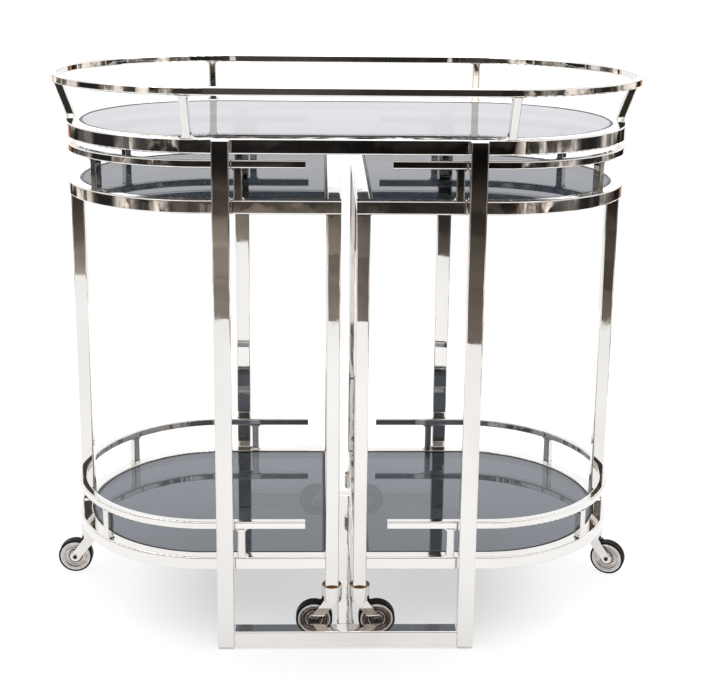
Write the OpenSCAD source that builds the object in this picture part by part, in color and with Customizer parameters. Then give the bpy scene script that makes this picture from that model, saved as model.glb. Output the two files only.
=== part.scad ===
// Three-piece nesting bar cart: a fixed racetrack tray frame and two half-oval carts on casters.
// Millimetres. Origin on the floor at the middle of the footprint, +X to the right, -Y is the front,
// +Z up. The carts stand nested under the tray and roll out sideways.

/* [Frame] */
// Frame leg and base rail tube, outside size
frame_tube = 25; // [20:1:28]
// Frame width over the legs, left to right
frame_w = 385; // [330:1:390]
// Frame depth over the legs, front to back
frame_d = 523; // [480:1:640]
// Height of the tray ring's top above the floor
frame_h = 772; // [772:1:940]
// Tube corner radius
tube_round = 2.25; // [1:0.25:3.5]
// Height of the plastic foot under each frame leg
glide_h = 4; // [2:1:8]

/* [Tray] */
// Half length of the tray ring's straight sides
tray_straight = 199.5; // [199.5:0.5:280]
// Tray ring tube width, in plan
tray_tube_w = 22; // [18:1:26]
// Tray ring tube height
tray_tube_h = 22; // [18:1:26]
// Glass thickness, all shelves
glass_t = 6; // [4:0.1:8]
// Width of the black glazing strip round each pane
strip_w = 4; // [2:0.5:6]

/* [Gallery rails] */
// Square bar of the gallery rails and their posts
bar = 12; // [8:0.5:14]
// Height of the tray gallery's top above the tray ring
tray_gallery_h = 74; // [50:1:110]
// How far the tray gallery leans out past the ring
tray_flare = 22; // [8:1:30]
// Angle of the tray's four long-side posts past the start of the curve
tray_post_turn = 7; // [3:1:30]
// Height of a cart gallery's top above its shelf ring
cart_gallery_h = 58; // [40:1:60]
// Plan angle of the carts' curved-end posts, from square across
cart_post_turn = 46; // [30:1:60]
// Distance of the carts' straight-side posts from the middle
cart_post_x = 158; // [120:1:200]
// Distance of the cart gallery's free ends from the middle
cart_gallery_end = 62; // [40:1:100]

/* [Carts] */
// Cart shelf ring and leg tube, outside size
cart_tube = 20; // [16:0.1:21]
// How far a cart's curved end stays back from the tray ring's end
cart_back = 0; // [0:0.5:8]
// Air between a cart's long sides and the frame legs
side_air = 12.5; // [6:0.5:30]
// Half of the gap between the two nested carts
nest_gap = 11; // [9:0.5:20]
// Top of the upper shelf ring above the floor
upper_z = 682; // [640:1:682]
// Top of the lower shelf ring above the floor
lower_z = 132; // [126:1:200]
// Skin of the ring tube left outside the outer leg
leg_skin = 2; // [1:0.5:3]

/* [Casters] */
// Wheel diameter over the tyre
wheel_d = 56; // [52:1:68]
// Wheel width over the tyre
wheel_w = 16; // [12:1:18]
// How far the wheel trails behind its swivel
trail = 27; // [26:1:30]
// Turn of the right outer caster as it stands
right_outer_turn = -25; // [-90:5:90]
// Turn of the left outer caster as it stands
left_outer_turn = 0; // [-90:5:90]
// Axle diameter
axle_d = 6; // [4:0.5:8]
// Swivel stem diameter
stem_d = 10; // [8:0.5:11]
// Running clearance of axle and stem, on the radius
run_clear = 0.05; // [0.02:0.01:0.1]

/* [Hidden] */
$fn = 96;
leg_x = frame_w / 2 - frame_tube / 2;
leg_y = frame_d / 2 - frame_tube / 2;
tray_side = frame_d / 2 - frame_tube;
tray_bend = tray_straight;
tray_half = tray_bend + tray_side;
gallery_side = tray_side + tray_flare;
gallery_top = frame_h + tray_gallery_h;
cart_side = tray_side - side_air;
cart_half = tray_half - cart_back;
cart_bend = cart_half - cart_side;
cart_in = nest_gap + cart_tube / 2;
inner_leg_y = cart_side - cart_tube / 2;
outer_leg_x = cart_half - leg_skin - cart_tube / 2;
rim_drop = 1;
ledge_t = 3;
ledge_w = 5.5;
wheel_r = wheel_d / 2;
tyre_t = 3;
tyre_seat = 0.03;
bar_round = 1.75;
crown_lift = 2.2;
crown_t = 2.6;
crown_r = 15;
cup_gap = 0.4;
cup_floor = 3;
cup_r = 16;
cup_wall = 1.4;
cup_z = wheel_d + crown_lift + crown_t + cup_gap;
cup_h = 22;
leg_foot = cup_z + cup_floor;
stem_top = leg_foot + 12;
arm_t = 2.2;
arm_in = wheel_w / 2 + 0.7;
arm_tip = 8;

// ---- shared shapes ----

// Rectangle with small round corners, centred
module soft_rect(w, h, r = tube_round) {
    square([w - 2 * r, h], center = true);
    square([w, h - 2 * r], center = true);
    for (sx = [-1, 1])
        for (sy = [-1, 1])
            translate([sx * (w / 2 - r), sy * (h / 2 - r)])
                circle(r = r);
}

// Tube along X from x0 to x1
module run_x(x0, x1, w, h) {
    translate([x0, 0, 0])
        rotate([90, 0, 90])
            linear_extrude(height = x1 - x0)
                soft_rect(w, h);
}

// Tube along Y, centred
module run_y(len, w, h) {
    rotate([90, 0, 0])
        linear_extrude(height = len, center = true)
            soft_rect(w, h);
}

// Upright tube from z0 to z1
module run_z(z0, z1, w) {
    translate([0, 0, z0])
        linear_extrude(height = z1 - z0)
            soft_rect(w, w);
}

// Part of a bent tube about the origin, centre line radius r, from angle a0 through a
module bend(r, w, h, a0, a) {
    rotate([0, 0, a0])
        rotate_extrude(angle = a)
            translate([r, 0])
                soft_rect(w, h);
}

// Closed racetrack tube, outer half sizes hx and hy, top at z
module racetrack_tube(hx, hy, w, h, z) {
    cx = hx - hy;
    translate([0, 0, z - h / 2]) {
        for (sy = [-1, 1])
            translate([0, sy * (hy - w / 2), 0])
                run_x(-cx, cx, w, h);
        translate([cx, 0, 0])
            bend(hy - w / 2, w, h, -90, 180);
        translate([-cx, 0, 0])
            bend(hy - w / 2, w, h, 90, 180);
    }
}

// Solid racetrack plate, half sizes hx and hy
module racetrack_plate(hx, hy, z0, z1) {
    cx = hx - hy;
    translate([0, 0, z0])
        linear_extrude(height = z1 - z0) {
            translate([-cx, -hy])
                square([2 * cx, 2 * hy]);
            for (sx = [-1, 1])
                translate([sx * cx, 0])
                    circle(r = hy);
        }
}

// Solid half-oval plate for the right cart, straight edge at x0, bend centre cx, radius r
module half_oval_plate(x0, cx, r, z0, z1) {
    translate([0, 0, z0])
        linear_extrude(height = z1 - z0) {
            translate([x0, -r])
                square([cx - x0, 2 * r]);
            translate([cx, 0])
                intersection() {
                    circle(r = r);
                    translate([0, -r])
                        square([r, 2 * r]);
                }
        }
}

// Open C of bent tube for the right cart: two straight sides from x0 and the curved end
module c_tube(x0, w, h, z) {
    translate([0, 0, z - h / 2]) {
        for (sy = [-1, 1])
            translate([0, sy * (cart_side - w / 2), 0])
                run_x(x0, cart_bend, w, h);
        translate([cart_bend, 0, 0])
            bend(cart_side - w / 2, w, h, -90, 180);
    }
}

// ---- frame ----

module tray_ring() {
    color([0.86, 0.86, 0.87]) {
        racetrack_tube(tray_half, tray_side, tray_tube_w, tray_tube_h, frame_h);
        ledge_top = frame_h - rim_drop - glass_t;
        difference() {
            racetrack_plate(tray_half - tray_tube_w + 2, tray_side - tray_tube_w + 2,
                            ledge_top - ledge_t, ledge_top);
            racetrack_plate(tray_half - tray_tube_w - ledge_w, tray_side - tray_tube_w - ledge_w,
                            ledge_top - ledge_t - 1, ledge_top + 1);
        }
    }
}

module tray_glass() {
    inset = tray_tube_w + strip_w;
    color([0.30, 0.32, 0.36, 0.6])
        racetrack_plate(tray_half - inset, tray_side - inset,
                        frame_h - rim_drop - glass_t, frame_h - rim_drop);
}

module tray_glazing_strip() {
    inset = tray_tube_w + strip_w;
    color([0.06, 0.06, 0.06])
        difference() {
            racetrack_plate(tray_half - tray_tube_w, tray_side - tray_tube_w,
                            frame_h - rim_drop - glass_t, frame_h - rim_drop);
            racetrack_plate(tray_half - inset, tray_side - inset,
                            frame_h - rim_drop - glass_t - 1, frame_h);
        }
}

module tray_gallery_rail() {
    color([0.86, 0.86, 0.87])
        racetrack_tube(tray_half + tray_flare, gallery_side, bar, bar, gallery_top);
}

// One leaning post on a ring bend of outer radius r, standing out along +X, foot on the ring's top
module leaning_post(r) {
    z0 = frame_h;
    z1 = gallery_top - bar;
    x0 = r - bar / 2;
    x1 = r + tray_flare - bar / 2;
    lean = atan2(x1 - x0, z1 - z0);
    intersection() {
        translate([x0, 0, z0])
            rotate([0, lean, 0])
                translate([0, 0, -20])
                    linear_extrude(height = z1 - z0 + 60)
                        soft_rect(bar, bar, bar_round);
        translate([r - 60, -40, z0])
            cube([160, 80, z1 - z0]);
    }
}

module tray_gallery_posts() {
    color([0.86, 0.86, 0.87])
        for (sx = [0, 1])
            mirror([sx, 0, 0])
                translate([tray_bend, 0, 0]) {
                    leaning_post(tray_side);
                    for (sy = [-1, 1])
                        rotate([0, 0, sy * (90 - tray_post_turn)])
                            leaning_post(tray_side);
                }
}

module frame_leg(sx, sy) {
    color([0.86, 0.86, 0.87])
        translate([sx * leg_x, sy * leg_y, 0])
            run_z(glide_h, frame_h, frame_tube);
}

module front_left_frame_leg() {
    frame_leg(-1, -1);
}

module front_right_frame_leg() {
    frame_leg(1, -1);
}

module rear_left_frame_leg() {
    frame_leg(-1, 1);
}

module rear_right_frame_leg() {
    frame_leg(1, 1);
}

module base_rail(sy) {
    color([0.86, 0.86, 0.87])
        translate([0, sy * leg_y, glide_h + frame_tube / 2])
            run_x(-(frame_w / 2 - frame_tube), frame_w / 2 - frame_tube, frame_tube, frame_tube);
}

module front_base_rail() {
    base_rail(-1);
}

module rear_base_rail() {
    base_rail(1);
}

module base_spine() {
    color([0.86, 0.86, 0.87])
        translate([0, 0, glide_h + frame_tube / 2])
            run_y(frame_d - 2 * frame_tube, frame_tube, frame_tube);
}

module foot_glides() {
    color([0.85, 0.85, 0.85])
        for (sx = [-1, 1])
            for (sy = [-1, 1])
                translate([sx * leg_x, sy * leg_y, 0])
                    linear_extrude(height = glide_h)
                        soft_rect(frame_tube - 2, frame_tube - 2, 3);
}

// ---- carts, written for the right one ----

module ledge(z_top) {
    top = z_top - rim_drop - glass_t;
    outer = cart_side - cart_tube;
    difference() {
        half_oval_plate(nest_gap + cart_tube - 2, cart_bend, outer + 2, top - ledge_t, top);
        half_oval_plate(nest_gap + cart_tube + ledge_w, cart_bend, outer - ledge_w,
                        top - ledge_t - 1, top + 1);
    }
}

module outer_leg_space(z0, z1) {
    translate([outer_leg_x, 0, 0])
        run_z(z0, z1, cart_tube);
}

module inner_leg_space(z0, z1) {
    for (sy = [-1, 1])
        translate([cart_in - cart_tube / 2 - 1, sy * inner_leg_y - cart_tube / 2 - 1, z0])
            cube([cart_tube + 1, cart_tube + 2, z1 - z0]);
}

module cart_upper_ring() {
    color([0.86, 0.86, 0.87]) {
        c_tube(nest_gap, cart_tube, cart_tube, upper_z);
        translate([cart_in, 0, upper_z - cart_tube / 2])
            run_y(2 * cart_side - 2 * tube_round, cart_tube, cart_tube);
        ledge(upper_z);
    }
}

module cart_lower_ring() {
    color([0.86, 0.86, 0.87])
        difference() {
            union() {
                c_tube(nest_gap + cart_tube / 2, cart_tube, cart_tube, lower_z);
                translate([cart_in, 0, lower_z - cart_tube / 2])
                    run_y(2 * cart_side - cart_tube, cart_tube, cart_tube);
                ledge(lower_z);
            }
            inner_leg_space(lower_z - 40, lower_z + 20);
            outer_leg_space(lower_z - 40, lower_z + 20);
        }
}

module cart_pane(z_top) {
    outer = cart_side - cart_tube - strip_w;
    color([0.30, 0.32, 0.36, 0.6])
        half_oval_plate(nest_gap + cart_tube + strip_w, cart_bend, outer,
                        z_top - rim_drop - glass_t, z_top - rim_drop);
}

module cart_upper_glass() {
    cart_pane(upper_z);
}

module cart_lower_glass() {
    cart_pane(lower_z);
}

module cart_glazing_strips() {
    outer = cart_side - cart_tube;
    color([0.06, 0.06, 0.06])
        for (z = [upper_z, lower_z])
            difference() {
                half_oval_plate(nest_gap + cart_tube, cart_bend, outer,
                                z - rim_drop - glass_t, z - rim_drop);
                half_oval_plate(nest_gap + cart_tube + strip_w, cart_bend, outer - strip_w,
                                z - rim_drop - glass_t - 1, z);
                outer_leg_space(lower_z - 40, lower_z + 20);
            }
}

module cart_upper_gallery() {
    color([0.86, 0.86, 0.87])
        c_tube(cart_gallery_end, bar, bar, upper_z + cart_gallery_h);
}

module cart_lower_gallery() {
    color([0.86, 0.86, 0.87])
        difference() {
            c_tube(cart_gallery_end, bar, bar, lower_z + cart_gallery_h);
            outer_leg_space(lower_z + 10, lower_z + cart_gallery_h + 20);
        }
}

module cart_posts_at(z) {
    h = cart_gallery_h - bar;
    for (sy = [-1, 1]) {
        translate([cart_post_x, sy * (cart_side - bar / 2), z])
            linear_extrude(height = h)
                soft_rect(bar, bar, bar_round);
        translate([cart_bend, 0, z])
            rotate([0, 0, sy * (90 - cart_post_turn)])
                translate([cart_side - bar / 2, 0, 0])
                    linear_extrude(height = h)
                        soft_rect(bar, bar, bar_round);
    }
}

module cart_gallery_posts() {
    color([0.86, 0.86, 0.87]) {
        cart_posts_at(upper_z);
        cart_posts_at(lower_z);
    }
}

module stem_bore(x, y) {
    translate([x, y, cup_z - 1])
        cylinder(r = stem_d / 2 + run_clear, h = stem_top + 1 - cup_z + 1);
}

module cart_outer_leg() {
    color([0.86, 0.86, 0.87])
        difference() {
            outer_leg_space(leg_foot, upper_z - cart_tube);
            stem_bore(outer_leg_x, 0);
        }
}

module cart_inner_leg(sy) {
    color([0.86, 0.86, 0.87])
        difference() {
            translate([cart_in, sy * inner_leg_y, 0])
                run_z(leg_foot, upper_z - cart_tube, cart_tube);
            stem_bore(cart_in, sy * inner_leg_y);
        }
}

module cart_front_leg() {
    cart_inner_leg(-1);
}

module cart_rear_leg() {
    cart_inner_leg(1);
}

module cup(x, y) {
    translate([x, y, cup_z])
        difference() {
            cylinder(r = cup_r, h = cup_h);
            translate([0, 0, cup_floor])
                cylinder(r = cup_r - cup_wall, h = cup_h);
            translate([0, 0, -1])
                cylinder(r = stem_d / 2 + run_clear, h = cup_floor + 2);
        }
}

module cart_leg_cups() {
    color([0.86, 0.86, 0.87]) {
        cup(outer_leg_x, 0);
        for (sy = [-1, 1])
            cup(cart_in, sy * inner_leg_y);
    }
}

// ---- one caster, swivel axis at the origin, wheel trailing along +X ----

// Side plate of the fork: wide at the crown, round about the axle
module arm_shape() {
    top = wheel_d + crown_lift + crown_t - 0.8;
    tl = [-9, top];
    tr = [12, top];
    ax = [trail, wheel_r];
    dl = norm(ax - tl);
    dr = norm(ax - tr);
    al = atan2(ax[1] - tl[1], ax[0] - tl[0]) - asin(arm_tip / dl) - 90;
    ar = atan2(ax[1] - tr[1], ax[0] - tr[0]) + asin(arm_tip / dr) + 90;
    tuck = 0.93 * arm_tip;
    pl = ax + tuck * [cos(al), sin(al)];
    pr = ax + tuck * [cos(ar), sin(ar)];
    polygon([tl, tr, pr, ax, pl]);
    translate(ax)
        circle(r = arm_tip);
}

module fork() {
    color([0.80, 0.80, 0.81]) {
        translate([0, 0, wheel_d + crown_lift])
            cylinder(r = crown_r, h = crown_t);
        translate([0, 0, wheel_d + crown_lift + 1])
            cylinder(r = stem_d / 2, h = stem_top - wheel_d - crown_lift - 1);
        for (s = [0, 1])
            mirror([0, s, 0])
                translate([0, -arm_in, 0])
                    rotate([90, 0, 0])
                        linear_extrude(height = arm_t)
                            arm_shape();
        translate([trail, 0, wheel_r])
            rotate([90, 0, 0]) {
                cylinder(r = axle_d / 2, h = 2 * (arm_in + arm_t) + 1, center = true);
                for (s = [-1, 1])
                    translate([0, 0, s * (arm_in + arm_t + 0.3)])
                        cylinder(r = axle_d / 2 + 1.2, h = 1.6, center = true);
            }
    }
}

// Wheel body: hub boss, thin web and broad rim, turned about the axle
module wheel() {
    r = wheel_r - tyre_t;
    hw = wheel_w / 2;
    color([0.78, 0.78, 0.79])
        translate([trail, 0, wheel_r])
            rotate([90, 0, 0])
                rotate_extrude()
                    polygon([
                        [axle_d / 2 + run_clear, -hw - 0.3],
                        [8, -hw - 0.3],
                        [9, -hw + 1],
                        [10, -hw + 3],
                        [15.5, -hw + 3],
                        [16.5, -hw + 2],
                        [18.5, -hw + 2],
                        [19.5, -hw + 1],
                        [r - 1, -hw + 1],
                        [r, -hw + 2],
                        [r, hw - 2],
                        [r - 1, hw - 1],
                        [19.5, hw - 1],
                        [18.5, hw - 2],
                        [16.5, hw - 2],
                        [15.5, hw - 3],
                        [10, hw - 3],
                        [9, hw - 1],
                        [8, hw + 0.3],
                        [axle_d / 2 + run_clear, hw + 0.3]
                    ]);
}

module tyre() {
    hw = wheel_w / 2;
    c = tyre_t / 2 - tyre_seat;
    color([0.05, 0.05, 0.05])
        translate([trail, 0, wheel_r])
            rotate([90, 0, 0])
                rotate_extrude()
                    translate([wheel_r - tyre_t, 0]) {
                        translate([tyre_seat, -hw])
                            square([tyre_t - c - tyre_seat, 2 * hw]);
                        translate([tyre_seat, -hw + c])
                            square([tyre_t - tyre_seat, 2 * hw - 2 * c]);
                        for (s = [-1, 1])
                            translate([tyre_t - c, s * (hw - c)])
                                circle(r = c);
                    }
}

module at_outer(turn) {
    translate([outer_leg_x, 0, 0])
        rotate([0, 0, turn])
            children();
}

module at_inner(sy) {
    translate([cart_in, sy * inner_leg_y, 0])
        children();
}

// ---- the whole piece ----

tray_ring();
tray_glass();
tray_glazing_strip();
tray_gallery_rail();
tray_gallery_posts();
front_left_frame_leg();
front_right_frame_leg();
rear_left_frame_leg();
rear_right_frame_leg();
front_base_rail();
rear_base_rail();
base_spine();
foot_glides();
cart_upper_ring();  // right_upper_ring
cart_lower_ring();  // right_lower_ring
cart_upper_glass();  // right_upper_glass
cart_lower_glass();  // right_lower_glass
cart_glazing_strips();  // right_glazing_strips
cart_upper_gallery();  // right_upper_gallery
cart_lower_gallery();  // right_lower_gallery
cart_gallery_posts();  // right_gallery_posts
cart_outer_leg();  // right_outer_leg
cart_front_leg();  // right_front_leg
cart_rear_leg();  // right_rear_leg
cart_leg_cups();  // right_leg_cups
mirror([1, 0, 0]) cart_upper_ring();  // left_upper_ring
mirror([1, 0, 0]) cart_lower_ring();  // left_lower_ring
mirror([1, 0, 0]) cart_upper_glass();  // left_upper_glass
mirror([1, 0, 0]) cart_lower_glass();  // left_lower_glass
mirror([1, 0, 0]) cart_glazing_strips();  // left_glazing_strips
mirror([1, 0, 0]) cart_upper_gallery();  // left_upper_gallery
mirror([1, 0, 0]) cart_lower_gallery();  // left_lower_gallery
mirror([1, 0, 0]) cart_gallery_posts();  // left_gallery_posts
mirror([1, 0, 0]) cart_outer_leg();  // left_outer_leg
mirror([1, 0, 0]) cart_front_leg();  // left_front_leg
mirror([1, 0, 0]) cart_rear_leg();  // left_rear_leg
mirror([1, 0, 0]) cart_leg_cups();  // left_leg_cups
at_outer(right_outer_turn) fork();  // right_outer_fork
at_outer(right_outer_turn) wheel();  // right_outer_wheel
at_outer(right_outer_turn) tyre();  // right_outer_tyre
at_inner(-1) fork();  // right_front_fork
at_inner(-1) wheel();  // right_front_wheel
at_inner(-1) tyre();  // right_front_tyre
at_inner(1) fork();  // right_rear_fork
at_inner(1) wheel();  // right_rear_wheel
at_inner(1) tyre();  // right_rear_tyre
mirror([1, 0, 0]) at_outer(left_outer_turn) fork();  // left_outer_fork
mirror([1, 0, 0]) at_outer(left_outer_turn) wheel();  // left_outer_wheel
mirror([1, 0, 0]) at_outer(left_outer_turn) tyre();  // left_outer_tyre
mirror([1, 0, 0]) at_inner(-1) fork();  // left_front_fork
mirror([1, 0, 0]) at_inner(-1) wheel();  // left_front_wheel
mirror([1, 0, 0]) at_inner(-1) tyre();  // left_front_tyre
mirror([1, 0, 0]) at_inner(1) fork();  // left_rear_fork
mirror([1, 0, 0]) at_inner(1) wheel();  // left_rear_wheel
mirror([1, 0, 0]) at_inner(1) tyre();  // left_rear_tyre
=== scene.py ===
"""Looks of the three-piece nesting bar cart: chrome tube, smoked glass, casters, welds and the studio."""

from __future__ import annotations

import logging
import math
from dataclasses import dataclass
from enum import Enum
from typing import Iterator, Sequence

import bmesh
import bpy
from mathutils import Matrix, Vector

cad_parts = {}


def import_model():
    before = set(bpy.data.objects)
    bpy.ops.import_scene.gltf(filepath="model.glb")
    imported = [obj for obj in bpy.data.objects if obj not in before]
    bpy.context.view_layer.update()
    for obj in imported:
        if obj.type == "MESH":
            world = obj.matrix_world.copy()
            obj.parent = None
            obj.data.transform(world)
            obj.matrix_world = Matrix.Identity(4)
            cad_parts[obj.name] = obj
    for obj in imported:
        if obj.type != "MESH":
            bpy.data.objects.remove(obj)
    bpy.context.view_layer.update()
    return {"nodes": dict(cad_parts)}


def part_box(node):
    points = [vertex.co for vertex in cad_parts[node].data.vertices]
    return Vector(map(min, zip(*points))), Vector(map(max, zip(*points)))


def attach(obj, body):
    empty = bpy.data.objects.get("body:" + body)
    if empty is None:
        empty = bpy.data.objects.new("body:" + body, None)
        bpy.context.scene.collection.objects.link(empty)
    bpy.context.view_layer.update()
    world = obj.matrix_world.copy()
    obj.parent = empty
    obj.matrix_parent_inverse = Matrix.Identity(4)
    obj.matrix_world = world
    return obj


LOG = logging.getLogger("bar_cart")
MM = 0.001
UP = Vector((0, 0, 1))
BOTH_WAYS = (-1.0, 1.0)

Colour = tuple[float, float, float]
Stops = Sequence[tuple[float, Colour]]
Pairs = Sequence[tuple[float, float]]
Socket = bpy.types.NodeSocket


class Side(Enum):
    """Which cart a piece belongs to, with the sign of its X direction."""

    LEFT = ("left", -1.0)
    RIGHT = ("right", 1.0)

    @property
    def label(self) -> str:
        """Name used in the CAD nodes."""
        return self.value[0]

    @property
    def sign(self) -> float:
        """Direction in which the cart rolls out."""
        return self.value[1]


class Corner(Enum):
    """Which caster of a cart."""

    OUTER = "outer"
    FRONT = "front"
    REAR = "rear"


class Slot(Enum):
    """Material slots of the record."""

    TUBE = "polished_tube"
    BAR = "polished_bar"
    CART = "cart_tube"
    CASTER = "caster_chrome"
    WHEEL = "wheel_metal"
    TYRE = "tyre_rubber"
    GLAZING = "glazing_rubber"
    FOOT = "foot_plastic"
    TRAY_GLASS = "smoked_glass"
    UPPER_GLASS = "cart_glass_upper"
    LOWER_GLASS = "cart_glass_lower"


# ---------------------------------------------------------------------------------------------
# Node graphs
# ---------------------------------------------------------------------------------------------


class Graph:
    """A thin typed layer over one shader node tree."""

    def __init__(self, tree: bpy.types.NodeTree) -> None:
        """Empties the tree and keeps it.

        Args:
            tree: node tree of a material or a world.
        """
        self.tree = tree
        tree.nodes.clear()

    def add(self, kind: str, **settings: object) -> bpy.types.Node:
        """Adds one node.

        Args:
            kind: node type identifier.
            **settings: attributes to set on the node.

        Returns:
            The new node.
        """
        node = self.tree.nodes.new(kind)
        for key, value in settings.items():
            setattr(node, key, value)
        return node

    def wire(self, source: Socket, target: Socket) -> None:
        """Links two sockets."""
        self.tree.links.new(source, target)

    def give(self, socket: Socket, value: object) -> None:
        """Sets one input.

        Args:
            socket: the input.
            value: a number, a tuple, a colour without alpha or an output socket to link.
        """
        if isinstance(value, Socket):
            self.wire(value, socket)
        elif socket.type == "RGBA":
            socket.default_value = (*value, 1.0)
        else:
            socket.default_value = value

    def feed(self, node: bpy.types.Node, **values: object) -> None:
        """Sets inputs by name.

        Args:
            node: node whose inputs are set.
            **values: socket name with spaces as underscores, and what it is given.
        """
        for key, value in values.items():
            self.give(node.inputs[key.replace("_", " ")], value)

    def place(self) -> Socket:
        """Object coordinates, in metres."""
        return self.add("ShaderNodeTexCoord").outputs["Object"]

    def parts(self, vector: Socket) -> Sequence[Socket]:
        """Splits a vector.

        Args:
            vector: coordinates or a direction.

        Returns:
            Its X, Y and Z.
        """
        node = self.add("ShaderNodeSeparateXYZ")
        self.wire(vector, node.inputs[0])
        return node.outputs

    def stretched(self, vector: Socket, scale: tuple[float, float, float]) -> Socket:
        """Coordinates scaled along each axis.

        Args:
            vector: coordinates.
            scale: factor along X, Y and Z.

        Returns:
            The vector socket.
        """
        mapping = self.add("ShaderNodeMapping")
        self.feed(mapping, Vector=vector, Scale=scale)
        return mapping.outputs["Vector"]

    def noise(self, vector: Socket, scale: float, detail: float, roughness: float = 0.5) -> Socket:
        """A noise texture's factor.

        Args:
            vector: coordinates.
            scale: texture scale.
            detail: number of octaves.
            roughness: weight of the fine octaves.

        Returns:
            The factor socket.
        """
        node = self.add("ShaderNodeTexNoise")
        self.feed(node, Vector=vector, Scale=scale, Detail=detail, Roughness=roughness)
        return node.outputs["Fac"]

    def span(self, value: Socket, low: float, high: float, to_low: float = 0.0,
             to_high: float = 1.0) -> Socket:
        """Maps a value from one range to another, clamped.

        Args:
            value: input value.
            low: start of the input range.
            high: end of the input range.
            to_low: result at the start.
            to_high: result at the end.

        Returns:
            The result socket.
        """
        node = self.add("ShaderNodeMapRange")
        self.feed(node, Value=value, From_Min=low, From_Max=high, To_Min=to_low, To_Max=to_high)
        return node.outputs["Result"]

    def band(self, value: Socket, rise: tuple[float, float], fall: tuple[float, float]) -> Socket:
        """Full inside a band of values, fading at both of its edges.

        Args:
            value: input value.
            rise: where the band starts and is full.
            fall: where it starts to fade and is gone.

        Returns:
            The factor socket.
        """
        return self.math("MULTIPLY", self.span(value, *rise), self.span(value, *fall, 1.0, 0.0))

    def math(self, operation: str, first: object, second: object = 0.0) -> Socket:
        """One arithmetic step.

        Args:
            operation: name of the math operation.
            first: first number or socket.
            second: second number or socket.

        Returns:
            The value socket.
        """
        node = self.add("ShaderNodeMath", operation=operation)
        for socket, value in zip(node.inputs, (first, second)):
            self.give(socket, value)
        return node.outputs[0]

    def blend(self, factor: object, first: object, second: object, kind: str = "MIX") -> Socket:
        """Mixes two colours.

        Args:
            factor: number or socket from 0 to 1.
            first: colour or socket at 0.
            second: colour or socket at 1.
            kind: how they are mixed.

        Returns:
            The colour socket.
        """
        node = self.add("ShaderNodeMix", data_type="RGBA", blend_type=kind)
        for name, value in (("Factor_Float", factor), ("A_Color", first), ("B_Color", second)):
            socket = next(each for each in node.inputs if each.identifier == name)
            self.give(socket, value)
        return next(each for each in node.outputs if each.identifier == "Result_Color")

    def tinted(self, first: object, second: object) -> Socket:
        """Two colours multiplied, with no upper limit."""
        return self.blend(1.0, first, second, "MULTIPLY")

    def ramp(self, value: Socket, stops: Stops) -> Socket:
        """A colour ramp.

        Args:
            value: position along the ramp.
            stops: position and colour of each stop, in order.

        Returns:
            The colour socket.
        """
        node = self.add("ShaderNodeValToRGB")
        elements = node.color_ramp.elements
        while len(elements) > 1:
            elements.remove(elements[-1])
        elements[0].position, elements[0].color = stops[0][0], (*stops[0][1], 1.0)
        for position, colour in stops[1:]:
            elements.new(position).color = (*colour, 1.0)
        self.wire(value, node.inputs["Fac"])
        return node.outputs["Color"]

    def bump(self, height: Socket, depth: float, strength: float = 1.0,
             under: Socket | None = None) -> Socket:
        """A bump step.

        Args:
            height: height from 0 to 1.
            depth: height in metres that 1 stands for.
            strength: how much of it shows.
            under: normal from an earlier bump.

        Returns:
            The normal socket.
        """
        node = self.add("ShaderNodeBump")
        self.feed(node, Height=height, Distance=depth, Strength=strength)
        if under is not None:
            self.wire(under, node.inputs["Normal"])
        return node.outputs["Normal"]


# ---------------------------------------------------------------------------------------------
# Finishes
# ---------------------------------------------------------------------------------------------


@dataclass(frozen=True)
class Finish:
    """Base of the finishes: a name and an empty material to dress."""

    name: str

    def start(self) -> tuple[bpy.types.Material, Graph, bpy.types.Node]:
        """Makes the material with its output and main shader.

        Returns:
            The material, its graph and the main shader node.
        """
        material = bpy.data.materials.new(self.name)
        material.use_nodes = True
        graph = Graph(material.node_tree)
        shader = graph.add("ShaderNodeBsdfPrincipled")
        output = graph.add("ShaderNodeOutputMaterial")
        graph.wire(shader.outputs["BSDF"], output.inputs["Surface"])
        return material, graph, shader


@dataclass(frozen=True)
class ChromeFinish(Finish):
    """Polished plate: nearly a mirror, with slow waves, polishing lines and faint smudges."""

    tint: Colour = (0.80, 0.783, 0.762)
    shade: Colour = (0.745, 0.725, 0.70)
    clear: float = 0.015
    smudged: float = 0.075
    wave: float = 0.00018
    wave_scale: float = 16.0
    lines: float = 0.000004
    line_spread: tuple[float, float, float] = (900.0, 900.0, 60.0)
    streak: float = 0.00005
    streak_spread: tuple[float, float, float] = (75.0, 75.0, 2.2)

    def build(self) -> bpy.types.Material:
        """Builds the node graph.

        Returns:
            The material.
        """
        material, graph, shader = self.start()
        place = graph.place()
        smears = graph.noise(place, scale=42.0, detail=5.0, roughness=0.62)
        drift = graph.noise(place, scale=7.0, detail=2.0)
        wave = graph.noise(place, self.wave_scale, detail=1.5, roughness=0.35)
        pulled = graph.noise(graph.stretched(place, self.streak_spread), 1.0, detail=1.0, roughness=0.4)
        fine = graph.noise(graph.stretched(place, self.line_spread), 1.0, detail=2.0)
        slow = graph.bump(pulled, self.streak, under=graph.bump(wave, self.wave))
        graph.feed(shader, Metallic=1.0, IOR=2.2,
                   Base_Color=graph.blend(graph.span(drift, 0.35, 0.7), self.tint, self.shade),
                   Roughness=graph.span(smears, 0.42, 0.78, self.clear, self.smudged),
                   Normal=graph.bump(fine, self.lines, strength=0.6, under=slow))
        return material


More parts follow.
